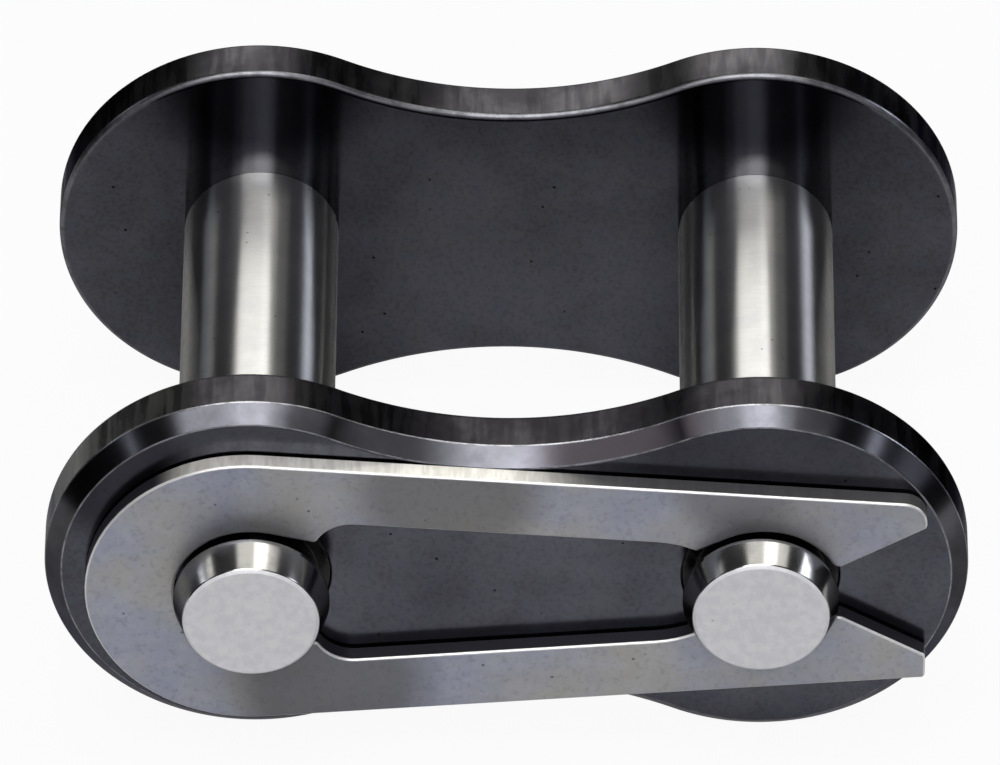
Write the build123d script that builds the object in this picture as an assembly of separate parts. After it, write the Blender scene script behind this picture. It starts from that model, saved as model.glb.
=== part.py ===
"""Roller chain connecting link: two figure-eight side plates, two pins and a spring clip.

The link stands on the round ends of its two upright plates. X runs along the chain, Y runs along
the pins, and Z is up. The clip is on the -Y side and its open end points along +X. The origin is
on the floor, midway between the pins and midway along the overall depth.
"""

from build123d import *
from math import acos, asin, atan2, cos, degrees, hypot, radians, sin, sqrt
import os

# Chain size, in millimetres
pitch = 19.05                   # from pin axis to pin axis
gap_between_plates = 18.0       # between the two inner faces
pin_diameter = 5.94

# Side plates, two alike, with their chamfered faces outward
plate_height = 15.6             # also the diameter of the round ends
plate_waist_depth = 2.05        # how far each long side is hollowed
plate_thickness = 2.4
plate_chamfer = 0.65            # around the outer face, at 45 degrees
plate_edge_round = 0.15         # around the inner face
cover_hole_clearance = 0.03     # on the radius, so that the cover plate slips over the pins

# Pins, riveted behind the base plate, and grooved and coned in front of the cover plate
pin_neck_step = 0.2             # on the radius, how much slimmer each pin is inside the base plate
pin_seat_step = 0.04            # and how much slimmer from the cover plate to its free end
pin_undercut_depth = 0.2        # on the radius, where the ground length between the plates ends
pin_undercut_width = 0.6
rivet_head_height = 1.0
rivet_head_spread = 0.5         # how far the head stands out past the pin's neck
rivet_head_round = 0.5
groove_depth = 0.52             # on the radius
groove_recess = 0.05            # how far the groove reaches back inside the cover plate
left_groove_play = 0.68         # room left in front of the clip
right_groove_play = 0.5
pin_land = 0.15                 # between the groove and the cone
left_pin_cone_length = 1.27
right_pin_cone_length = 1.06
pin_cone_depth = 0.4            # taken off the radius at the end face
pin_edge_round = 0.08

# Spring clip, one flat pressing
clip_thickness = 0.7
clip_gap_to_plate = 0.12
clip_eye_wall = 3.23            # the clip's width around the left eye
clip_closed_end_offset = 0.12   # the web behind the left eye is this much wider than the sides
clip_slot_relief = 0.67         # the slot's straight edge is this much further out than the eye's side
clip_eye_hold = 0.05            # how much smaller the eyes are than the pins, on the radius
clip_right_eye_offset = 0.1
clip_cusp_setback = 0.5         # each eye's side reaches this much past the cusps beside it
clip_left_cusp_drop = 0.98      # how far the cusps stand into the slot
clip_right_cusp_drop = 0.3
clip_left_shoulder_radius = 1.5
clip_right_shoulder_radius = 4.0
clip_cusp_round = 0.15
clip_throat_half_gap = 1.1      # half the narrowest gap between the legs, at the open end
clip_throat_round = 0.3
clip_open_end_height = 8.4      # across the two tips
clip_tip_reach = 6.2            # from the right pin's axis to the tips
clip_tip_width = 1.1            # each leg's straight end face
clip_upper_tip_round = 0.85     # the upper tip's outer corner, as a share of the tip's width
clip_lower_tip_round = 0.15
clip_tip_inner_round = 0.2
clip_edge_round = 0.12          # around the front face
clip_left_droop = 0.3           # how far the clip hangs down in the left pin's groove
clip_right_droop = 0.15         # and in the right pin's

# Places and sizes that follow
half_pitch = pitch / 2
pin_radius = pin_diameter / 2
neck_radius = pin_radius - pin_neck_step
seat_radius = pin_radius - pin_seat_step
groove_radius = pin_radius - groove_depth
pin_height = plate_height / 2
cover_back = gap_between_plates
cover_front = cover_back + plate_thickness
clip_back = cover_front + clip_gap_to_plate
groove_start = cover_front - groove_recess
left_groove_end = clip_back + clip_thickness + left_groove_play
right_groove_end = clip_back + clip_thickness + right_groove_play
pin_front_end = left_groove_end + pin_land + left_pin_cone_length
pin_back_end = plate_thickness + rivet_head_height
base_face_y = (pin_front_end - pin_back_end) / 2


def upright_plane(depth, x=0.0, forward=1):
    """An upright plane at pin height. Depth counts towards -Y from the base plate's inner face.

    Its local X is the chain's direction. Its local Z points to -Y, or to +Y if forward is -1.
    """
    return Plane(origin=(x, base_face_y - depth, pin_height), x_dir=(1, 0, 0), z_dir=(0, -forward, 0))


def plate_profile(hole_radius):
    """The figure-eight face: round ends about the pins, joined by hollow arcs tangent to both."""
    end_radius = plate_height / 2
    half_waist = end_radius - plate_waist_depth
    waist_radius = (half_pitch**2 + half_waist**2 - end_radius**2) / (2 * plate_waist_depth)
    waist_angle = atan2(half_waist + waist_radius, half_pitch)
    touch_x = half_pitch - end_radius * cos(waist_angle)
    touch_y = end_radius * sin(waist_angle)
    end_x = half_pitch + end_radius
    with BuildSketch() as profile:
        with BuildLine():
            ThreePointArc((-touch_x, touch_y), (-end_x, 0), (-touch_x, -touch_y))
            ThreePointArc((-touch_x, -touch_y), (0, -half_waist), (touch_x, -touch_y))
            ThreePointArc((touch_x, -touch_y), (end_x, 0), (touch_x, touch_y))
            ThreePointArc((touch_x, touch_y), (0, half_waist), (-touch_x, touch_y))
        make_face()
        with Locations((-half_pitch, 0), (half_pitch, 0)):
            Circle(hole_radius, mode=Mode.SUBTRACT)
    return profile.sketch


def side_plate(inner_face, hole_radius):
    """One plate, thickened outward from the plane of its inner face."""
    outward = Axis(inner_face.origin, inner_face.z_dir)
    plate = extrude(inner_face * plate_profile(hole_radius), plate_thickness)
    outer_edges = plate.faces().sort_by(outward)[-1].outer_wire().edges()
    plate = chamfer(outer_edges, plate_chamfer)
    inner_edges = plate.faces().sort_by(outward)[0].outer_wire().edges()
    return fillet(inner_edges, plate_edge_round)


def link_pin(x, groove_end, cone_length):
    """One pin, turned about its axis and set in the base plate at this place along the chain."""
    head_radius = neck_radius + rivet_head_spread
    end_radius = seat_radius - pin_cone_depth
    cone_start = groove_end + pin_land
    front_end = cone_start + cone_length
    undercut_radius = pin_radius - pin_undercut_depth
    undercut_end = cover_back + pin_undercut_width
    with BuildSketch(Plane.XZ) as profile:
        with BuildLine():
            Polyline(
                (0, -pin_back_end),
                (head_radius, -pin_back_end),
                (head_radius, -plate_thickness),
                (neck_radius, -plate_thickness),
                (neck_radius, 0),
                (pin_radius, 0),
                (pin_radius, cover_back),
                (undercut_radius, cover_back),
                (undercut_radius, undercut_end),
                (seat_radius, undercut_end),
                (seat_radius, groove_start),
                (groove_radius, groove_start),
                (groove_radius, groove_end),
                (seat_radius, groove_end),
                (seat_radius, cone_start),
                (end_radius, front_end),
                (0, front_end),
                close=True,
            )
        make_face()
        for corner, radius in (
            ((head_radius, -pin_back_end), rivet_head_round),
            ((end_radius, front_end), pin_edge_round),
        ):
            fillet(profile.vertices().sort_by_distance(corner)[0], radius)
    return upright_plane(0, x) * revolve(profile.sketch, Axis.Z)


def tangent_angle(centre_x, radius, point, turn):
    """The angle, about a centre on the X axis, where a line from the point touches the circle."""
    reach_x = point[0] - centre_x
    return atan2(point[1], reach_x) + turn * acos(radius / hypot(reach_x, point[1]))


def on_circle(centre_x, radius, angle):
    return (centre_x + radius * cos(angle), radius * sin(angle))


def clip_profile():
    """The clip's face: an upper half with the closed end, the leg and the slot, mirrored.

    The upper tip is then rounded off, and the lower one stays square.
    """
    eye_radius = pin_radius - clip_eye_hold
    left_eye = -half_pitch
    right_eye = half_pitch + clip_right_eye_offset
    closed_radius = eye_radius + clip_eye_wall
    closed_centre = left_eye - clip_closed_end_offset
    tip_x = half_pitch + clip_tip_reach
    tip_outer = (tip_x, clip_open_end_height / 2)
    tip_inner = (tip_x, clip_open_end_height / 2 - clip_tip_width)
    leg_angle = tangent_angle(closed_centre, closed_radius, tip_outer, 1)

    def inside_leg(x, drop):
        """A point of the slot at this x, the given drop inside the leg's straight inner edge."""
        inset = eye_radius + clip_slot_relief - drop
        return (x, (inset - (x - closed_centre) * cos(leg_angle)) / sin(leg_angle))

    def along_leg(start, distance):
        """The point at a signed distance from the start, along the leg towards the tips."""
        return (start[0] + distance * sin(leg_angle), start[1] - distance * cos(leg_angle))

    def shoulder(cusp_x, drop, radius, towards_tips):
        """The arc from the leg's straight inner edge down to the cusp, as its three points."""
        cusp = inside_leg(cusp_x, drop)
        length = towards_tips * sqrt(2 * radius * drop - drop**2)
        inward = (-cos(leg_angle), -sin(leg_angle))
        edge = along_leg((cusp[0] - drop * inward[0], cusp[1] - drop * inward[1]), length)
        centre = (edge[0] + radius * inward[0], edge[1] + radius * inward[1])
        middle = ((edge[0] + cusp[0]) / 2 - centre[0], (edge[1] + cusp[1]) / 2 - centre[1])
        stretch = radius / hypot(*middle)
        return edge, (centre[0] + middle[0] * stretch, centre[1] + middle[1] * stretch), cusp

    cusp_x = half_pitch - (eye_radius - clip_cusp_setback)
    left_shoulder = shoulder(-cusp_x, clip_left_cusp_drop, clip_left_shoulder_radius, 1)
    right_shoulder = shoulder(cusp_x, clip_right_cusp_drop, clip_right_shoulder_radius, -1)
    left_cusp = left_shoulder[2]
    right_cusp = right_shoulder[2]
    left_touch = tangent_angle(left_eye, eye_radius, left_cusp, 1)
    right_touch = tangent_angle(right_eye, eye_radius, right_cusp, -1)
    throat_angle = asin(clip_throat_half_gap / eye_radius)
    throat = on_circle(right_eye, eye_radius, throat_angle)

    with BuildSketch() as half:
        with BuildLine():
            Line((left_eye - eye_radius, 0), (closed_centre - closed_radius, 0))
            CenterArc((closed_centre, 0), closed_radius, 180, degrees(leg_angle) - 180)
            Line(on_circle(closed_centre, closed_radius, leg_angle), tip_outer)
            Line(tip_outer, tip_inner)
            Line(tip_inner, throat)
            CenterArc((right_eye, 0), eye_radius, degrees(throat_angle), degrees(right_touch - throat_angle))
            Line(on_circle(right_eye, eye_radius, right_touch), right_cusp)
            ThreePointArc(*reversed(right_shoulder))
            Line(right_shoulder[0], left_shoulder[0])
            ThreePointArc(*left_shoulder)
            Line(left_cusp, on_circle(left_eye, eye_radius, left_touch))
            CenterArc((left_eye, 0), eye_radius, degrees(left_touch), 180 - degrees(left_touch))
        make_face()
        for corner, radius in (
            (tip_inner, clip_tip_inner_round),
            (throat, clip_throat_round),
            (right_cusp, clip_cusp_round),
            (left_cusp, clip_cusp_round),
        ):
            fillet(half.vertices().sort_by_distance(corner)[0], radius)
    profile = half.sketch + mirror(half.sketch, about=Plane.XZ)
    for side, radius in ((1, clip_upper_tip_round * clip_tip_width), (-1, clip_lower_tip_round)):
        tip_corner = (tip_x, side * clip_open_end_height / 2)
        profile = fillet(profile.vertices().sort_by_distance(tip_corner)[0], radius)
    return profile


def spring_clip():
    """The clip in the pins' grooves, where it hangs down a little within its play."""
    droop_angle = degrees(atan2(clip_left_droop - clip_right_droop, pitch))
    hung = Pos(half_pitch, -clip_right_droop) * Rot(0, 0, droop_angle) * Pos(-half_pitch, 0)
    clip = extrude(upright_plane(clip_back) * hung * clip_profile(), clip_thickness)
    front_edges = clip.faces().sort_by(Axis.Y)[0].edges()
    return fillet(front_edges, clip_edge_round)


nodes = {
    "base_plate": side_plate(upright_plane(0, forward=-1), neck_radius),
    "left_pin": link_pin(-half_pitch, left_groove_end, left_pin_cone_length),
    "right_pin": link_pin(half_pitch, right_groove_end, right_pin_cone_length),
    "cover_plate": side_plate(upright_plane(cover_back), seat_radius + cover_hole_clearance),
    "spring_clip": spring_clip(),
}

os.makedirs("parts", exist_ok=True)
for name, shape in nodes.items():
    shape.label = name
    export_step(shape, f"parts/{name}.step")
    box = shape.bounding_box()
    print(name, len(shape.solids()), round(shape.volume, 2), box.min, box.max)
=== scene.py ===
"""A roller chain connecting link with its spring clip, seen from above and in front."""

import bmesh
import bpy
import math
import numpy as np
from mathutils import Matrix, Vector
from mathutils.geometry import tessellate_polygon


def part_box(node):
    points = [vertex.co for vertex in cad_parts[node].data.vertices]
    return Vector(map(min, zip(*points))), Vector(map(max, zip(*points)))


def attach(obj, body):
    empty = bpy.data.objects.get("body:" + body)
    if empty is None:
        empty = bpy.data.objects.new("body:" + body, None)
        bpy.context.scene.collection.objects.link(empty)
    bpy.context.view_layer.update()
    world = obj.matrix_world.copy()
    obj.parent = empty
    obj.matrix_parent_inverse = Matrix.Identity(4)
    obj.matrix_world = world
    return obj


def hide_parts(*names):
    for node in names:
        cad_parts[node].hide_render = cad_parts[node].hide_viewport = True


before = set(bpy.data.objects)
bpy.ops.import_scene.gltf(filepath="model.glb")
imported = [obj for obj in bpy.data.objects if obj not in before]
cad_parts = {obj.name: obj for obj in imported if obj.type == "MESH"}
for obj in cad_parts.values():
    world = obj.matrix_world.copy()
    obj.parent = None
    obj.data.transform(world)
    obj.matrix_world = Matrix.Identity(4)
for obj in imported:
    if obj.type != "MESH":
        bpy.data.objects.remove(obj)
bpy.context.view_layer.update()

# Camera
# A long lens a little over half a metre away looks down on the link from the clip's side.
MM = 0.001
photo_width = 1000.0
lens_in_pixels = 14252.0
sensor_width = 36.0
camera_distance = 542.9 * MM
camera_turn = math.radians(0.11)
camera_tilt = math.radians(39.35)
camera_roll = math.radians(0.22)
aim_right_of_centre = 7.5
aim_above_centre = 1.0

gap_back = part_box("base_plate")[0].y
gap_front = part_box("cover_plate")[1].y
pin_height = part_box("base_plate")[1].z / 2
aim = Vector((0, (gap_back + gap_front) / 2, pin_height))

level_right = Vector((math.cos(camera_turn), math.sin(camera_turn), 0))
level_backward = Vector((math.sin(camera_turn), -math.cos(camera_turn), 0))
backward = level_backward * math.cos(camera_tilt) + Vector((0, 0, math.sin(camera_tilt)))
level_up = backward.cross(level_right)
right = level_right * math.cos(camera_roll) + level_up * math.sin(camera_roll)
up = backward.cross(right)
pixel = camera_distance / lens_in_pixels

camera_data = bpy.data.cameras.new("camera")
camera_data.sensor_width = sensor_width
camera_data.lens = lens_in_pixels / photo_width * sensor_width
camera_data.clip_start = 0.01
camera = bpy.data.objects.new("camera", camera_data)
bpy.context.scene.collection.objects.link(camera)
place = aim + backward * camera_distance
place -= (right * aim_right_of_centre + up * aim_above_centre) * pixel
camera.matrix_world = Matrix.Translation(place) @ Matrix((right, up, backward)).transposed().to_4x4()
bpy.context.scene.camera = camera

# Base plate
# The back side plate is a figure eight blanked from steel sheet and heat-blued. Its outer edge is
# chamfered, and both pins are pressed into it and riveted over behind.
plate_end_radius = pin_height / MM
half_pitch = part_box("base_plate")[1].x / MM - plate_end_radius
plate_thickness = (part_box("base_plate")[1].y - gap_back) / MM
plate_waist_depth = 2.05
plate_chamfer = 0.65
plate_inner_round = 0.28
plate_chamfer_round = 0.07
plate_face_rim = 0.3
base_hole_radius = 2.77
hole_round = 0.06
one_stretch = 9.0
flat_slope = 0.95
chamfer_slope = 0.3
# Heights of the painted shade above each pin and of the painted reflection at each pin's root.
painted_shade_height = 0.015
painted_gleam_height = 0.0105
blued_specular = (0.5, 0.5, 0.55, 1)
dull_specular = (0.15, 0.15, 0.18, 1)
dirt = (0.01, 0.01, 0.012)


def straight(start, end, step=1.5):
    """A straight stretch of an outline: its length, its point and direction at a distance, its step."""
    start, end = np.array(start, float), np.array(end, float)
    length = np.linalg.norm(end - start)
    way = (end - start) / length
    return length, lambda s: (start + way * s, way), step


def arc(centre, radius, first, last, step_degrees=2.5):
    """A round stretch of an outline, from one angle to another."""
    turn = 1 if last > first else -1

    def at(s):
        angle = first + turn * s / radius
        round_way = np.array((math.cos(angle), math.sin(angle)))
        return np.array(centre) + radius * round_way, turn * np.array((-round_way[1], round_way[0]))

    return radius * abs(last - first), at, radius * math.radians(step_degrees)


def trace(stretches, cuts, closed, corner_steps=6):
    """Points, outward normals and a corner mark along the stretches, each joint eased by its cut length."""
    points, ways, corners = [], [], []
    count = len(stretches)
    for i, (length, at, step) in enumerate(stretches):
        first = cuts[i - 1] if closed or i else 0
        last = cuts[i] if closed or i < count - 1 else 0
        steps = max(1, math.ceil((length - first - last) / step))
        for k in range(steps + 1):
            point, way = at(first + (length - first - last) * k / steps)
            points.append(point)
            ways.append(way)
            corners.append(0.0)
        if not closed and i == count - 1:
            break
        if last == 0:
            points.pop()
            ways.pop()
            corners.pop()
            continue
        p0, w0 = at(length - last)
        p1, w1 = stretches[(i + 1) % count][1](last)
        reach = np.linalg.solve(np.array((w0, w1)).T, p1 - p0)[0]
        middle = p0 + w0 * reach
        for k in range(1, corner_steps):
            t = k / corner_steps
            points.append(p0 * (1 - t) ** 2 + middle * 2 * t * (1 - t) + p1 * t * t)
            way = (middle - p0) * (1 - t) + (p1 - middle) * t
            ways.append(way / np.linalg.norm(way))
            corners.append(math.sin(math.pi * t))
    points, ways = np.array(points), np.array(ways)
    return points, np.stack((ways[:, 1], -ways[:, 0]), 1), np.array(corners)


def sweep(name, loops, face_y, outward):
    """A closed mesh: each loop's section runs round its outline, from the face at face_y outward along Y."""
    vertices, normals, worn, faces, ends = [], [], [], [], ([], [])
    for (points, sides, _), (section, section_normals, corner) in loops:
        first, n, m = len(vertices), len(points), len(section)
        for (u, d), (nu, nd), c in zip(section, section_normals, corner):
            for p, s in zip(points, sides):
                x, z = p + s * u
                vertices.append(Vector((x * MM, face_y + outward * d * MM, z * MM)))
                normals.append(Vector((s[0] * nu, outward * nd, s[1] * nu)).normalized())
                worn.append(c)
        for j in range(m - 1):
            for i in range(n):
                a, b = first + j * n + i, first + j * n + (i + 1) % n
                faces.append((a, b, b + n, a + n))
        ends[0].append(range(first, first + n))
        ends[1].append(range(first + (m - 1) * n, first + m * n))
    for rings in ends:
        order = [v for ring in rings for v in ring]
        flat = [[Vector((vertices[v].x, vertices[v].z, 0)) / MM for v in ring] for ring in rings]
        faces += [tuple(order[v] for v in triangle) for triangle in tessellate_polygon(flat)]
    mesh = bpy.data.meshes.new(name)
    mesh.from_pydata(vertices, [], faces)
    shaped = bmesh.new()
    shaped.from_mesh(mesh)
    bmesh.ops.recalc_face_normals(shaped, faces=shaped.faces)
    shaped.to_mesh(mesh)
    shaped.free()
    mesh.shade_smooth()
    mesh.normals_split_custom_set_from_vertices(normals)
    mesh.attributes.new("worn", "FLOAT", "POINT").data.foreach_set("value", np.array(worn, np.float32))
    piece = bpy.data.objects.new(name, mesh)
    bpy.context.scene.collection.objects.link(piece)
    return piece


def plate_outline():
    """The figure eight: round ends about the pins, and hollow sides tangent to both."""
    half_waist = plate_end_radius - plate_waist_depth
    hollow = (half_pitch**2 + half_waist**2 - plate_end_radius**2) / (2 * plate_waist_depth)
    lean = math.atan2(half_waist + hollow, half_pitch)
    middle = plate_end_radius
    top, bottom = (0, middle + half_waist + hollow), (0, middle - half_waist - hollow)
    stretches = [
        arc((half_pitch, middle), plate_end_radius, lean - math.pi, math.pi - lean, step_degrees=2),
        arc(top, hollow, -lean, lean - math.pi, step_degrees=1.2),
        arc((-half_pitch, middle), plate_end_radius, lean, 2 * math.pi - lean, step_degrees=2),
        arc(bottom, hollow, math.pi - lean, lean, step_degrees=1.2),
    ]
    return trace(stretches, [0, 0, 0, 0], True)


def plate_section(hole):
    """From the inner face, over the rounded inner edge and the outer chamfer, to the outer face."""
    deep = plate_thickness
    if hole:
        path = [(-plate_face_rim, 0), (0, 0), (0, deep), (-plate_face_rim, deep)]
        cuts = [hole_round, hole_round]
    else:
        path = [(-plate_face_rim, 0), (0, 0), (0, deep - plate_chamfer), (-plate_chamfer, deep)]
        path.append((-plate_chamfer - plate_face_rim, deep))
        cuts = [plate_inner_round, plate_chamfer_round, plate_chamfer_round]
    stretches = [straight(a, b, one_stretch) for a, b in zip(path, path[1:])]
    return trace(stretches, cuts, False)


def side_plate(name, face_y, outward, hole_radius):
    """A side plate with its two holes, its inner face at face_y and its chamfer on the outward side."""
    loops = [(plate_outline(), plate_section(False))]
    for x in (half_pitch, -half_pitch):
        around = arc((x, plate_end_radius), hole_radius, 2 * math.pi, 0, step_degrees=3)
        rim = trace([around], [0], True)
        loops.append((rim, plate_section(True)))
    return sweep(name, loops, face_y, outward)


def fresh_nodes(name):
    """A new material with empty nodes, and a maker of its nodes with their inputs and settings."""
    material = bpy.data.materials.new(name)
    material.use_nodes = True
    return material, node_maker(material.node_tree)


def node_maker(tree):
    """Empty the tree, and give a function that adds a node with its inputs and settings."""
    tree.nodes.clear()

    def make(kind, inputs=None, **settings):
        node = tree.nodes.new(kind)
        for key, value in settings.items():
            setattr(node, key, value)
        for key, value in (inputs or {}).items():
            if isinstance(value, bpy.types.NodeSocket):
                tree.links.new(value, node.inputs[key])
            else:
                node.inputs[key].default_value = value
        return node

    return make


def noise(make, place, scale, detail=4.0, roughness=0.6):
    """Soft random cloud values from 0 to 1, with the scale in clouds per metre."""
    settings = {"Vector": place, "Scale": scale, "Detail": detail, "Roughness": roughness}
    return make("ShaderNodeTexNoise", settings).outputs["Fac"]


def product(make, first, second):
    """One shader value times another."""
    return make("ShaderNodeMath", {0: first, 1: second}, operation="MULTIPLY").outputs[0]


def ease(make, value, low, high, first=0.0, last=1.0):
    """The first value up to the low mark, the last from the high mark on, and a smooth way between."""
    settings = {0: value, 1: low, 2: high, 3: first, 4: last}
    return make("ShaderNodeMapRange", settings, interpolation_type="SMOOTHSTEP").outputs[0]


def blend(make, share, under, over):
    """One colour over another, by a share that may vary over the surface."""
    under, over = [c if isinstance(c, bpy.types.NodeSocket) else (*c, 1) for c in (under, over)]
    return make("ShaderNodeMix", {0: share, 6: under, 7: over}, data_type="RGBA").outputs[2]


def specks(make, place, scale, size, share):
    """Sparse round specks: the share of cells that hold one, and their size within the cell."""
    cells = make("ShaderNodeTexVoronoi", {"Vector": place, "Scale": scale})
    near = ease(make, cells.outputs["Distance"], size * 0.6, size, 1.0, 0.0)
    chosen = make("ShaderNodeSeparateColor", {0: cells.outputs["Color"]}).outputs[0]
    held = ease(make, chosen, share, share + 0.02, 1.0, 0.0)
    return product(make, near, held)


def stains_and_painted_light(make, place, skin, spots):
    """The skin with soft stains, worn spots, painted shade and painted highlights laid over it, each by its
    place, reach, share and colour.
    """
    for spot in spots:
        away = make("ShaderNodeVectorMath", {0: place, 1: spot["place"]}, operation="DISTANCE")
        share = ease(make, away.outputs["Value"], spot["reach"] * 0.5, spot["reach"], spot["share"], 0.0)
        skin = blend(make, share, skin, spot["colour"])
    return skin


def raised(make, height, strength, distance):
    """The surface's normal, roughened by a height that varies over it."""
    settings = {"Height": height, "Strength": strength, "Distance": distance}
    return make("ShaderNodeBump", settings).outputs[0]


def shown(make, shading):
    """Give the material the surface that the shading describes."""
    bsdf = make("ShaderNodeBsdfPrincipled", shading)
    make("ShaderNodeOutputMaterial", {"Surface": bsdf.outputs[0]})


def blued_face(name, dark, light, tint, roughness, spots):
    """The flat of a heat-blued plate: a thin satin oxide skin, clouded, finely mottled and specked."""
    material, make = fresh_nodes(name)
    place = make("ShaderNodeTexCoord").outputs["Object"]
    cloud = noise(make, place, 150.0)
    fleck = noise(make, place, 1300.0, 5.0, 0.65)
    grain = noise(make, place, 5200.0, 3.0, 0.6)
    skin = blend(make, ease(make, cloud, 0.36, 0.66), dark, light)
    skin = blend(make, ease(make, fleck, 0.44, 0.68, 0.0, 0.35), skin, tint)
    skin = blend(make, ease(make, grain, 0.32, 0.56, 0.2, 0.0), skin, (0.012, 0.012, 0.014))
    skin = blend(make, specks(make, place, 2300.0, 0.17, 0.04), skin, dirt)
    skin = stains_and_painted_light(make, place, skin, spots)
    rough = ease(make, cloud, 0.35, 0.65, roughness * 0.85, roughness * 1.2)
    bump = raised(make, grain, strength=0.2, distance=0.000003)
    shading = {"Base Color": skin, "Metallic": 1.0, "Roughness": rough, "Normal": bump}
    shading["Specular Tint"] = blued_specular
    shown(make, shading)
    return material


def burnished_chamfer(name, dark, light, rubbed_and_highlight, spots):
    """The plate's chamfer, burnished smooth by tumbling; its bright edges are partly edge wear and partly
    painted highlight lines.
    """
    material, make = fresh_nodes(name)
    place = make("ShaderNodeTexCoord").outputs["Object"]
    cloud = noise(make, place, 230.0, 3.0)
    fleck = noise(make, place, 1500.0, 5.0, 0.65)
    skin = blend(make, ease(make, cloud, 0.4, 0.62), dark, light)
    skin = blend(make, ease(make, fleck, 0.42, 0.7, 0.0, 0.3), skin, (0.03, 0.03, 0.034))
    skin = stains_and_painted_light(make, place, skin, spots)
    worn = make("ShaderNodeAttribute", attribute_name="worn").outputs["Fac"]
    rub_and_highlight = product(make, worn, ease(make, fleck, 0.35, 0.6, 0.35, 1.0))
    skin = blend(make, rub_and_highlight, skin, rubbed_and_highlight)
    rough = ease(make, worn, 0.0, 1.0, 0.16, 0.34)
    bump = raised(make, cloud, strength=0.35, distance=0.00003)
    shading = {"Base Color": skin, "Metallic": 1.0, "Roughness": rough, "Normal": bump}
    shading["Specular Tint"] = blued_specular
    shown(make, shading)
    return material


def blanked_wall(name, dark, light, spots):
    """The plate's sheared rim: drawn lines across its thickness, and uneven blueing."""
    material, make = fresh_nodes(name)
    place = make("ShaderNodeTexCoord").outputs["Object"]
    across = make("ShaderNodeMapping", {"Vector": place, "Scale": (1.0, 0.12, 1.0)}).outputs[0]
    drawn = noise(make, across, 2600.0, 3.0, 0.5)
    cloud = noise(make, place, 210.0, 5.0, 0.6)
    skin = blend(make, ease(make, cloud, 0.38, 0.64), dark, light)
    skin = blend(make, ease(make, drawn, 0.4, 0.66, 0.0, 0.25), skin, (0.02, 0.02, 0.022))
    skin = stains_and_painted_light(make, place, skin, spots)
    rough = ease(make, drawn, 0.35, 0.65, 0.22, 0.36)
    bump = raised(make, drawn, strength=0.2, distance=0.000004)
    shading = {"Base Color": skin, "Metallic": 1.0, "Roughness": rough, "Normal": bump}
    shading["Specular Tint"] = dull_specular
    shown(make, shading)
    return material


def finish_plate(plate, finishes):
    """Give the flats, the chamfer with the edge rounds, and the rim each their own finish."""
    for finish in finishes:
        plate.data.materials.append(finish)
    for face in plate.data.polygons:
        slope = abs(face.normal.y)
        face.material_index = 0 if slope > flat_slope else 1 if slope > chamfer_slope else 2


# Painted light on the back flat: high above each pin a dark patch is painted shade, and at the top of each
# pin's root a small bright patch is a painted reflection of the pin's bright band.
back_flat_painted_light = []
for side in (-1, 1):
    shade_above_pin = (side * half_pitch * MM, gap_back, painted_shade_height)
    gleam_at_pin = (side * half_pitch * MM, gap_back, painted_gleam_height)
    back_flat_painted_light.append({"place": shade_above_pin, "reach": 0.005, "share": 0.9, "colour": (0.01, 0.01, 0.014)})
    back_flat_painted_light.append({"place": gleam_at_pin, "reach": 0.0014, "share": 0.9, "colour": (0.14, 0.14, 0.15)})
base_plate = side_plate("base_plate_blued", gap_back, 1, base_hole_radius)
blued_back = blued_face(
    "blued_flat_back",
    dark=(0.072, 0.072, 0.084),
    light=(0.105, 0.106, 0.126),
    tint=(0.084, 0.095, 0.122),
    roughness=0.09,
    spots=back_flat_painted_light,
)
chamfer_back = burnished_chamfer(
    "burnished_chamfer_back",
    dark=(0.06, 0.06, 0.064),
    light=(0.09, 0.09, 0.096),
    rubbed_and_highlight=(0.2, 0.2, 0.215),
    spots=[],
)
wall_back = blanked_wall(
    "blanked_wall_back",
    dark=(0.05, 0.048, 0.051),
    light=(0.11, 0.107, 0.112),
    spots=[],
)
finish_plate(base_plate, [blued_back, chamfer_back, wall_back])
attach(base_plate, "pin_link")
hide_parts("base_plate")

# Pins
# Each pin is turned, ground and polished. Behind the base plate it is riveted over, and in front it
# has the clip's groove, a blunt cone to start the clip on, and a dull sheared end face.
pin_radius = 2.97
pin_neck_radius = 2.77
pin_seat_radius = 2.93
pin_undercut_radius = 2.77
pin_undercut_width = 0.6
pin_shank_length = 18.0
pin_groove_radius = 2.45
rivet_head_radius = 3.27
rivet_head_height = 1.0
rivet_head_round = 0.45
groove_start = 20.35
pin_land = 0.15
cone_depth = 0.36
end_chamfer_width = 0.13
end_chamfer_length = 0.12
edge_ease = 0.035
pin_turns = 192
pin_face_ring = 0.4
groove_shade, sheared, turned = 1, 2, 3
pins = {
    "left": {"x": -half_pitch, "groove_end": 21.9},
    "right": {"x": half_pitch, "groove_end": 21.72},
}


def ground_steel():
    """Ground and polished steel: fine lines run around it, so highlights are drawn out along it."""
    material, make = fresh_nodes("ground_pin_steel")
    place = make("ShaderNodeTexCoord").outputs["Object"]
    around = make("ShaderNodeMapping", {"Vector": place, "Scale": (1.0, 14.0, 1.0)}).outputs[0]
    lines = noise(make, around, 900.0)
    smear = noise(make, place, 700.0, 5.0, 0.65)
    colour = blend(make, ease(make, smear, 0.35, 0.7), (0.61, 0.605, 0.582), (0.54, 0.538, 0.532))
    colour = blend(make, ease(make, lines, 0.42, 0.7, 0.0, 0.2), colour, (0.4, 0.4, 0.4))
    colour = blend(make, specks(make, place, 2600.0, 0.16, 0.08), colour, (0.25, 0.25, 0.25))
    along = make("ShaderNodeTangent", direction_type="RADIAL", axis="Y").outputs[0]
    shading = {"Base Color": colour, "Metallic": 1.0, "Roughness": 0.285, "Tangent": along}
    shading.update({"Anisotropic": 1.0, "Anisotropic Rotation": 0.25, "Specular Tint": (0.0, 0.0, 0.0, 1)})
    shown(make, shading)
    return material


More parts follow.
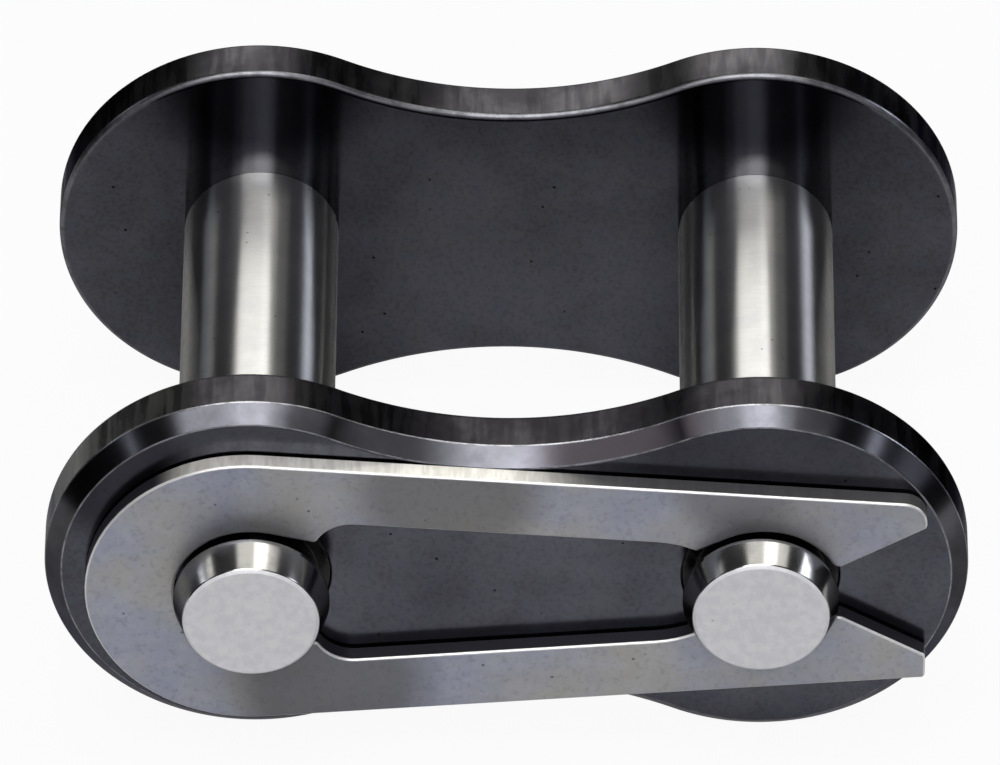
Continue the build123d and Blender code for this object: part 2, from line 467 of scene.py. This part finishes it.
def turned_cone_steel():
    """The turned cone at the pin's end: bright, but less fine than the ground length."""
    material, make = fresh_nodes("turned_cone_steel")
    place = make("ShaderNodeTexCoord").outputs["Object"]
    smear = noise(make, place, 1100.0, 5.0, 0.65)
    colour = blend(make, ease(make, smear, 0.35, 0.7), (0.5, 0.495, 0.47), (0.4, 0.395, 0.38))
    rough = ease(make, smear, 0.3, 0.7, 0.12, 0.2)
    bump = raised(make, smear, strength=0.15, distance=0.000003)
    shading = {"Base Color": colour, "Metallic": 1.0, "Roughness": rough, "Normal": bump}
    shading["Specular Tint"] = (0.1, 0.1, 0.12, 1)
    shown(make, shading)
    return material


def shaded_groove_steel():
    """The turned groove behind the head, and the undercut, both darkened as painted shade in these recesses.
    """
    material, make = fresh_nodes("shaded_groove_steel")
    place = make("ShaderNodeTexCoord").outputs["Object"]
    smear = noise(make, place, 900.0, 5.0, 0.65)
    colour = blend(make, ease(make, smear, 0.35, 0.7), (0.02, 0.02, 0.024), (0.06, 0.055, 0.055))
    rough = ease(make, smear, 0.35, 0.65, 0.2, 0.35)
    shown(make, {"Base Color": colour, "Metallic": 1.0, "Roughness": rough})
    return material


def sheared_steel():
    """The pin's cut end: pale, dull and faintly mottled."""
    material, make = fresh_nodes("sheared_pin_end")
    place = make("ShaderNodeTexCoord").outputs["Object"]
    mottle = noise(make, place, 2600.0, 5.0, 0.65)
    colour = blend(make, ease(make, mottle, 0.35, 0.65), (0.68, 0.675, 0.69), (0.76, 0.755, 0.76))
    colour = blend(make, specks(make, place, 2600.0, 0.17, 0.08), colour, (0.5, 0.5, 0.5))
    bump = raised(make, mottle, strength=0.3, distance=0.00001)
    shading = {"Base Color": colour, "Metallic": 0.2, "Roughness": 0.55, "Normal": bump}
    shown(make, shading)
    return material


pin_finishes = [ground_steel(), shaded_groove_steel(), sheared_steel(), turned_cone_steel()]
for side, pin in pins.items():
    front = (gap_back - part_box(side + "_pin")[0].y) / MM
    cone_end = pin_seat_radius - cone_depth
    undercut_end = pin_shank_length + pin_undercut_width
    path = [
        (pin_face_ring, -plate_thickness - rivet_head_height),
        (rivet_head_radius, -plate_thickness - rivet_head_height),
        (rivet_head_radius, -plate_thickness),
        (pin_neck_radius, -plate_thickness),
        (pin_neck_radius, 0),
        (pin_radius, 0),
        (pin_radius, pin_shank_length),
        (pin_undercut_radius, pin_shank_length),
        (pin_undercut_radius, undercut_end),
        (pin_seat_radius, undercut_end),
        (pin_seat_radius, groove_start),
        (pin_groove_radius, groove_start),
        (pin_groove_radius, pin["groove_end"]),
        (pin_seat_radius, pin["groove_end"]),
        (pin_seat_radius, pin["groove_end"] + pin_land),
        (cone_end, front - end_chamfer_length),
        (cone_end - end_chamfer_width, front),
        (pin_face_ring, front),
    ]
    cuts = [rivet_head_round] + [edge_ease] * (len(path) - 3)
    stretches = [straight(a, b, one_stretch) for a, b in zip(path, path[1:])]
    section = trace(stretches, cuts, False, corner_steps=5)
    angles = np.linspace(0, 2 * math.pi, pin_turns, endpoint=False)
    sides = np.stack((np.cos(angles), np.sin(angles)), 1)
    centre = np.tile((pin["x"], plate_end_radius), (pin_turns, 1))
    piece = sweep(side + "_pin_ground", [((centre, sides, None), section)], gap_back, -1)
    for finish in pin_finishes:
        piece.data.materials.append(finish)
    for face in piece.data.polygons:
        depth = (gap_back - face.center.y) / MM
        if depth > front - end_chamfer_length + edge_ease:
            face.material_index = sheared
        elif depth > pin["groove_end"] + edge_ease:
            face.material_index = turned
        # The groove and the undercut take the painted shade.
        elif depth > groove_start - edge_ease or pin_shank_length < depth < undercut_end:
            face.material_index = groove_shade
    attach(piece, "pin_link")
    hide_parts(side + "_pin")

# Cover plate
# The front side plate, blanked and blued like the back one, slips over the pins' free ends.
# Its chamfer's edges are painted brighter than the back plate's, partly as edge wear and partly as painted
# highlight lines, and its rim is worn bare on the left.
cover_hole_radius = 2.96
plate_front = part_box("cover_plate")[0].y
# On the front flat: a painted shadow of the clip beside its left rim, and the flat darker towards its top
# above each pin.
flat_shadow_and_dark_patches = [
    {"place": (-0.0142, plate_front, 0.0122), "reach": 0.0038, "share": 0.7, "colour": (0.015, 0.015, 0.02)},
    {"place": (-0.0085, plate_front, 0.0146), "reach": 0.006, "share": 0.45, "colour": (0.02, 0.02, 0.028)},
    {"place": (0.0095, plate_front, 0.0146), "reach": 0.0065, "share": 0.55, "colour": (0.02, 0.02, 0.028)},
]
# On the front chamfer: a darker patch at the waist's right, and a painted highlight high on the right lobe.
chamfer_dark_patch_and_highlight = [
    {"place": (0.0046, plate_front, 0.0136), "reach": 0.0046, "share": 0.85, "colour": (0.02, 0.016, 0.018)},
    {"place": (0.0155, plate_front, 0.0117), "reach": 0.003, "share": 0.5, "colour": (0.16, 0.16, 0.18)},
]
wall_spots = [
    {"place": (-0.0168, gap_front, 0.0102), "reach": 0.0075, "share": 0.9, "colour": (0.5, 0.51, 0.47)},
]
cover_plate = side_plate("cover_plate_blued", gap_front, -1, cover_hole_radius)
blued_front = blued_face(
    "blued_flat_front",
    dark=(0.084, 0.084, 0.1),
    light=(0.13, 0.131, 0.155),
    tint=(0.1, 0.115, 0.145),
    roughness=0.18,
    spots=flat_shadow_and_dark_patches,
)
chamfer_front = burnished_chamfer(
    "burnished_chamfer_front",
    dark=(0.06, 0.06, 0.064),
    light=(0.088, 0.088, 0.095),
    rubbed_and_highlight=(0.34, 0.34, 0.36),
    spots=chamfer_dark_patch_and_highlight,
)
wall_front = blanked_wall(
    "blanked_wall_front",
    dark=(0.032, 0.03, 0.033),
    light=(0.075, 0.072, 0.076),
    spots=wall_spots,
)
finish_plate(cover_plate, [blued_front, chamfer_front, wall_front])
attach(cover_plate, "cover")
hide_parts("cover_plate")

# Spring clip
# One flat pressing of spring steel that hugs both pins in their grooves. Its faces are dull and mottled, and
# its front edge is bright, partly rubbed and partly a painted highlight line. Its rim is darkened as painted
# shade, but worn bare along the upper leg.
clip_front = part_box("spring_clip")[0].y
upper_leg_height = 0.0098
bare_from = -0.0132, -0.0116
bare_until = -0.0005, 0.0035
bare_last = 0.1
# The rim's dark colour is painted shade.
painted_shade_rim = (0.03, 0.03, 0.036)
# The front edge's bright colour is partly rubbed wear and partly a painted highlight line.
rubbed_edge_and_highlight = (0.72, 0.71, 0.69)
# Darker patches on the clip's faces, each by its place, reach, share and colour.
clip_dark_patches = [
    {"place": (-0.0066, clip_front, 0.0031), "reach": 0.0048, "share": 0.85, "colour": (0.16, 0.16, 0.165)},
    {"place": (-0.0022, clip_front, 0.0125), "reach": 0.0045, "share": 0.85, "colour": (0.2, 0.195, 0.185)},
    {"place": (0.0085, clip_front, 0.0128), "reach": 0.003, "share": 0.85, "colour": (0.23, 0.23, 0.25)},
    {"place": (0.012, clip_front, 0.0125), "reach": 0.0035, "share": 0.3, "colour": (0.3, 0.3, 0.33)},
]
clip_steel, make = fresh_nodes("spring_clip_steel")
place = make("ShaderNodeTexCoord")
normal = make("ShaderNodeSeparateXYZ", {0: place.outputs["Normal"]}).outputs
spot = make("ShaderNodeSeparateXYZ", {0: place.outputs["Object"]}).outputs
place = place.outputs["Object"]
toward_front = product(make, normal[1], -1.0)
facing = make("ShaderNodeMath", {0: normal[1]}, operation="ABSOLUTE").outputs[0]
on_face = ease(make, facing, 0.84, 0.96)
off_rim = ease(make, toward_front, 0.12, 0.3)
cloud = noise(make, place, 170.0, 4.0, 0.6)
mottle = noise(make, place, 800.0, 6.0, 0.7)
grain = noise(make, place, 4200.0, 3.0, 0.6)
face = blend(make, ease(make, cloud, 0.38, 0.64), (0.35, 0.37, 0.455), (0.43, 0.42, 0.4))
face = blend(make, ease(make, mottle, 0.4, 0.68, 0.0, 0.4), face, (0.5, 0.515, 0.57))
face = stains_and_painted_light(make, place, face, clip_dark_patches)
face = blend(make, ease(make, grain, 0.3, 0.5, 0.2, 0.0), face, (0.09, 0.09, 0.1))
face = blend(make, specks(make, place, 2300.0, 0.17, 0.04), face, (0.16, 0.16, 0.18))
across = make("ShaderNodeMapping", {"Vector": place, "Scale": (1.0, 0.15, 1.0)}).outputs[0]
drawn = noise(make, across, 3400.0, 4.0, 0.6)
bare = blend(make, ease(make, drawn, 0.38, 0.64), (0.68, 0.66, 0.6), (0.86, 0.84, 0.78))
upper_leg = {0: spot[2], 1: upper_leg_height}
upper_leg = make("ShaderNodeMath", upper_leg, operation="GREATER_THAN").outputs[0]
from_bend = ease(make, spot[0], *bare_from)
to_tip = ease(make, spot[0], *bare_until, 1.0, bare_last)
bright = product(make, product(make, from_bend, to_tip), upper_leg)
rim = blend(make, bright, painted_shade_rim, bare)
colour = blend(make, on_face, blend(make, off_rim, rim, rubbed_edge_and_highlight), face)
rough = ease(make, on_face, 0.0, 1.0, 0.38, 0.44)
dull = ease(make, on_face, 0.0, 1.0, 0.55, 0.7)
bump = raised(make, mottle, strength=0.25, distance=0.00001)
shading = {"Base Color": colour, "Metallic": dull, "Roughness": rough, "Normal": bump}
shown(make, shading)
spring_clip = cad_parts["spring_clip"]
spring_clip.data.materials.clear()
spring_clip.data.materials.append(clip_steel)

# Floor
# A plain pale table. The camera sees it nearly white, with a faint shadow, and the metal
# mirrors it as a soft grey.
floor_reach = 0.06
floor_drop = 0.00002
table_grey = (0.5, 0.5, 0.5, 1)
white_to_camera = 0.94
white_to_metal = 0.15
floor_corners = [(-1, -1), (1, -1), (1, 1), (-1, 1)]
floor_mesh = bpy.data.meshes.new("floor")
floor_points = [(x * floor_reach, y * floor_reach, -floor_drop) for x, y in floor_corners]
floor_mesh.from_pydata(floor_points, [], [range(4)])
floor = bpy.data.objects.new("floor", floor_mesh)
bpy.context.scene.collection.objects.link(floor)
table_white, make = fresh_nodes("table_white")
rays = make("ShaderNodeLightPath").outputs
straight_on = {0: rays["Is Camera Ray"], 1: rays["Is Transmission Ray"]}
straight_on = make("ShaderNodeMath", straight_on, operation="MAXIMUM").outputs[0]
seen = product(make, straight_on, white_to_camera)
mirrored = product(make, rays["Is Glossy Ray"], white_to_metal)
share = make("ShaderNodeMath", {0: seen, 1: mirrored}, operation="MAXIMUM")
matte = make("ShaderNodeBsdfDiffuse", {"Color": table_grey})
white = make("ShaderNodeEmission", {"Color": (1, 1, 1, 1), "Strength": 1.0})
mixed = make("ShaderNodeMixShader", {0: share.outputs[0], 1: matte.outputs[0], 2: white.outputs[0]})
make("ShaderNodeOutputMaterial", {"Surface": mixed.outputs[0]})
floor_mesh.materials.append(table_white)

# Studio light
# A dark room with soft panels in front, overhead, behind and down both sides. In degrees, across
# counts from the middle to the right, and over counts from the front horizon up and back.
studio = bpy.data.worlds.new("studio")
bpy.context.scene.world = studio
studio.use_nodes = True
make = node_maker(studio.node_tree)
way = make("ShaderNodeSeparateXYZ", {0: make("ShaderNodeTexCoord").outputs["Generated"]}).outputs
across = make("ShaderNodeMath", {0: way[0]}, operation="ARCSINE").outputs[0]
forward = product(make, way[1], -1.0)
over = make("ShaderNodeMath", {0: way[2], 1: forward}, operation="ARCTAN2").outputs[0]
warm, cool, blue = (1.0, 0.99, 0.96), (0.98, 0.98, 1.04), (0.92, 0.96, 1.1)
room_tint = (1.0, 1.02, 1.1)
room_low, room_high = 0.015, 0.035
backdrop_white = (0.97, 0.97, 0.97)
panels = [
    {"across": (-20, 11), "over": (122, 160), "soft": 2, "colour": warm, "strength": 2.0},
    {"across": (-23, 12), "over": (68, 89), "soft": 2, "colour": warm, "strength": 6.5},
    {"across": (-18, 4), "over": (93, 113), "soft": 5, "colour": warm, "strength": 1.1},
    {"across": (4, 20), "over": (93, 113), "soft": 4, "colour": warm, "strength": 3.2},
    {"across": (20, 34), "over": (94, 111), "soft": 5, "colour": warm, "strength": 1.2},
    {"across": (-31, -22), "over": (44, 53), "soft": 4, "colour": cool, "strength": 4.0},
    {"across": (-22, 13), "over": (42, 60), "soft": 2, "colour": cool, "strength": 3.6},
    {"across": (-7, 7), "over": (44, 58), "soft": 5, "colour": cool, "strength": 4.5},
    {"across": (13, 30), "over": (44, 53), "soft": 6, "colour": cool, "strength": 0.9},
    {"across": (-42, 42), "over": (3, 34), "soft": 8, "colour": cool, "strength": 0.7},
    {"across": (-66, -60), "over": (80, 150), "soft": 3, "colour": blue, "strength": 1.5},
    {"across": (55, 66), "over": (80, 150), "soft": 3, "colour": blue, "strength": 4.4},
    {"across": (-57, -50), "over": (112, 142), "soft": 4, "colour": warm, "strength": 1.3},
    {"across": (-53, -51), "over": (28, 46), "soft": 2, "colour": blue, "strength": 3.5},
    {"across": (46, 50), "over": (28, 46), "soft": 3, "colour": blue, "strength": 3.6},
    {"across": (58, 72), "over": (4, 32), "soft": 9, "colour": blue, "strength": 0.45},
]
room = ease(make, way[2], -0.1, 0.3, room_low, room_high)
total = make("ShaderNodeVectorMath", {0: room_tint, "Scale": room}, operation="SCALE").outputs[0]
for panel in panels:
    shares = []
    for angle, (low, high) in ((across, panel["across"]), (over, panel["over"])):
        for edge, first, last in ((low, 0.0, 1.0), (high, 1.0, 0.0)):
            start, end = (math.radians(edge + side * panel["soft"] / 2) for side in (-1, 1))
            shares.append(ease(make, angle, start, end, first, last))
    glow = panel["strength"]
    for share in shares:
        glow = product(make, glow, share)
    light = make("ShaderNodeVectorMath", {0: panel["colour"], "Scale": glow}, operation="SCALE").outputs[0]
    total = make("ShaderNodeVectorMath", {0: total, 1: light}, operation="ADD").outputs[0]
rays = make("ShaderNodeLightPath").outputs
seen = {0: rays["Is Camera Ray"], 1: rays["Is Transmission Ray"]}
seen = make("ShaderNodeMath", seen, operation="MAXIMUM").outputs[0]
backdrop = blend(make, seen, total, backdrop_white)
sky = make("ShaderNodeBackground", {"Color": backdrop, "Strength": 1.0})
make("ShaderNodeOutputWorld", {"Surface": sky.outputs[0]})

bpy.context.scene.view_settings.view_transform = "Standard"
